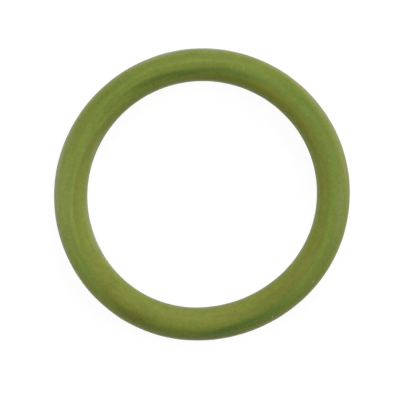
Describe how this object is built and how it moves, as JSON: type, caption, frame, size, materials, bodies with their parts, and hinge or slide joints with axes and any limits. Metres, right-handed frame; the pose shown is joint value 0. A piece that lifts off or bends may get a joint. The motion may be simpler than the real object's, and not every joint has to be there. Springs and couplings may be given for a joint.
{
  "type": "o-ring",
  "caption": "Rubber ring seal of round section, stretched over a spigot and squeezed in its groove to close the joint between a pipe fitting and its housing.",
  "frame": {"origin": "centre of the ring, on its axis and in the mid plane where the mould halves part", "axes": "+Z along the ring's axis, so that the ring lies flat; X and Y across it"},
  "size_m": [0.0322, 0.0322, 0.0036],
  "materials": {
    "seal_rubber": "olive green moulded rubber with a satin skin"
  },
  "bodies": {
    "root": {"o_ring": "seal_rubber"}
  },
  "joints": []
}
